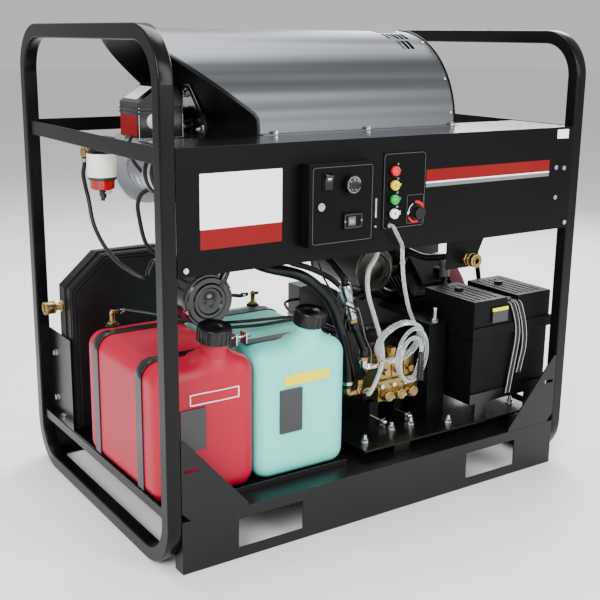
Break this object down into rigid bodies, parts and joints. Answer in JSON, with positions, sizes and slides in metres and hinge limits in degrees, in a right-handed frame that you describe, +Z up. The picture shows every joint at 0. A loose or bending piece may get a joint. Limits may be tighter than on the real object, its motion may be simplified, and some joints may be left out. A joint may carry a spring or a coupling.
{
  "type": "pressure washer",
  "caption": "Engine-driven hot-water pressure washer skid in a looped tube frame, with burner, coil drum, fuel tanks, pump, float tank and battery.",
  "frame": {"origin": "centre of the base's underside, on the ground", "axes": "+X along the control side to the right, -Y is the front with the control box, +Z up"},
  "size_m": [1.238, 0.8886, 1.18],
  "materials": {
    "black_frame": "semi-gloss black powder coat",
    "black_sheet": "fine-textured black powder coat",
    "stainless": "brushed stainless sheet",
    "zinc": "bright zinc plating",
    "steel_pipe": "mill-finish steel pipe",
    "brass": "machined and forged brass",
    "aluminium": "cast and turned aluminium",
    "cast_black": "black painted casting",
    "muffler_steel": "aluminised steel, slightly stained",
    "maroon": "deep red gloss enamel",
    "red_plastic": "translucent red polyethylene",
    "green_plastic": "pale green polyethylene",
    "black_plastic": "moulded black plastic",
    "black_rubber": "smooth black rubber",
    "clear_hose": "clear vinyl tube",
    "white_enamel": "white enamel",
    "red_bowl": "clear red nylon",
    "cap_red": "red moulding",
    "cap_yellow": "yellow moulding",
    "cap_green": "green moulding",
    "cap_white": "white moulding"
  },
  "bodies": {
    "frame": {"left_end_loop": "black_frame", "right_end_loop": "black_frame", "cross_rails": "black_sheet", "base_skid": "black_sheet", "corner_gussets": "black_sheet", "tank_tray": "black_sheet", "engine_deck": "black_sheet", "deck_isolators": "black_rubber", "zinc_hardware": "zinc", "control_panel": "black_sheet", "top_deck": "black_sheet", "control_box": "black_sheet", "nozzle_plate": "black_sheet", "coil_wrap": "stainless", "coil_drum": "black_sheet", "heating_coil": "steel_pipe", "burner_housing": "black_sheet", "burner_motor": "aluminium", "filter_canister": "white_enamel", "filter_bowl": "red_bowl", "gasoline_tank": "red_plastic", "diesel_tank": "green_plastic", "tank_straps": "black_sheet", "tank_fittings": "brass", "float_tank": "black_plastic", "engine_block": "cast_black", "fan_cover": "maroon", "muffler": "muffler_steel", "air_cleaner": "black_plastic", "belt_guard": "black_sheet", "drive_belts": "black_rubber", "pump_crankcase": "cast_black", "pump_manifold": "brass", "pump_fittings": "brass", "fluid_hoses": "black_rubber", "detergent_hose": "clear_hose", "detergent_hose_coil": "clear_hose", "hose_strainer": "black_plastic", "vapour_canister": "black_plastic", "battery_box": "black_plastic", "battery": "black_plastic", "outlet_bracket": "brass"},
    "control_door": {"control_door": "black_sheet"},
    "door_latch": {"door_latch": "zinc"},
    "rocker_switch": {"rocker_switch": "black_plastic"},
    "thermostat_knob": {"thermostat_knob": "black_plastic"},
    "detergent_knob": {"detergent_knob": "black_plastic"},
    "nozzle_red": {"nozzle_red": "cap_red"},
    "nozzle_yellow": {"nozzle_yellow": "cap_yellow"},
    "nozzle_green": {"nozzle_green": "cap_green"},
    "nozzle_white": {"nozzle_white": "cap_white"},
    "blower_wheel": {"blower_wheel": "aluminium"},
    "drain_valve": {"drain_valve": "black_plastic"},
    "gasoline_cap": {"gasoline_cap": "black_plastic"},
    "diesel_cap": {"diesel_cap": "black_plastic"},
    "inlet_swivel": {"inlet_swivel": "brass"},
    "engine_pulley": {"engine_pulley": "cast_black"},
    "pump_pulley": {"pump_pulley": "cast_black"},
    "battery_lid": {"battery_lid": "black_plastic"},
    "coupler_collar": {"coupler_collar": "brass"}
  },
  "joints": [
    {"name": "door_hinge", "type": "hinge", "parent": "frame", "child": "control_door", "pos_m": [-0.094, -0.4375, 0.8], "axis": [0, 0, 1], "range_deg": [0, 100]},
    {"name": "latch_turn", "type": "hinge", "parent": "control_door", "child": "door_latch", "pos_m": [-0.247, -0.4405, 0.799], "axis": [0, -1, 0], "range_deg": [0, 90]},
    {"name": "rocker_tip", "type": "hinge", "parent": "control_door", "child": "rocker_switch", "pos_m": [-0.228, -0.4375, 0.852], "axis": [-1, 0, 0], "range_deg": [0, 16]},
    {"name": "thermostat_turn", "type": "hinge", "parent": "control_door", "child": "thermostat_knob", "pos_m": [-0.17, -0.4405, 0.844], "axis": [0, -1, 0], "range_deg": [0, 270]},
    {"name": "detergent_turn", "type": "hinge", "parent": "frame", "child": "detergent_knob", "pos_m": [0.05, -0.4055, 0.758], "axis": [0, -1, 0], "range_deg": [0, 270]},
    {"name": "nozzle_white_pull", "type": "slide", "parent": "frame", "child": "nozzle_white", "axis": [0, -1, 0], "range_m": [0, 0.045]},
    {"name": "nozzle_green_pull", "type": "slide", "parent": "frame", "child": "nozzle_green", "axis": [0, -1, 0], "range_m": [0, 0.045]},
    {"name": "nozzle_yellow_pull", "type": "slide", "parent": "frame", "child": "nozzle_yellow", "axis": [0, -1, 0], "range_m": [0, 0.045]},
    {"name": "nozzle_red_pull", "type": "slide", "parent": "frame", "child": "nozzle_red", "axis": [0, -1, 0], "range_m": [0, 0.045]},
    {"name": "gasoline_cap_turn", "type": "hinge", "parent": "frame", "child": "gasoline_cap", "pos_m": [-0.438, -0.296, 0.452], "axis": [0, -0.1736, 0.9848], "range_deg": [0, 360]},
    {"name": "diesel_cap_turn", "type": "hinge", "parent": "frame", "child": "diesel_cap", "pos_m": [-0.179, -0.296, 0.452], "axis": [0, -0.1736, 0.9848], "range_deg": [0, 360]},
    {"name": "blower_spin", "type": "hinge", "parent": "frame", "child": "blower_wheel", "pos_m": [-0.442, 0, 0.85], "axis": [0, 1, 0], "continuous": true},
    {"name": "drain_turn", "type": "hinge", "parent": "frame", "child": "drain_valve", "pos_m": [-0.568, -0.012, 0.795], "axis": [0, 0, 1], "range_deg": [0, 180]},
    {"name": "inlet_spin", "type": "hinge", "parent": "frame", "child": "inlet_swivel", "pos_m": [-0.61, 0.262, 0.462], "axis": [1, 0, 0], "continuous": true},
    {"name": "pump_spin", "type": "hinge", "parent": "frame", "child": "pump_pulley", "pos_m": [0.27, -0.075, 0.3], "axis": [1, 0, 0], "continuous": true},
    {"name": "engine_spin", "type": "hinge", "parent": "frame", "child": "engine_pulley", "pos_m": [0.27, 0.1, 0.34], "axis": [1, 0, 0], "continuous": true},
    {"name": "lid_lift", "type": "slide", "parent": "frame", "child": "battery_lid", "axis": [0, 0, 1], "range_m": [0, 0.12]},
    {"name": "collar_pull", "type": "slide", "parent": "frame", "child": "coupler_collar", "axis": [0, 1, 0], "range_m": [0, 0.006], "stiffness_N_per_m": 900, "springref_m": -0.004}
  ],
  "couplings": [
    {"joint": "engine_spin", "follows": "pump_spin", "ratio": 2.1111}
  ]
}
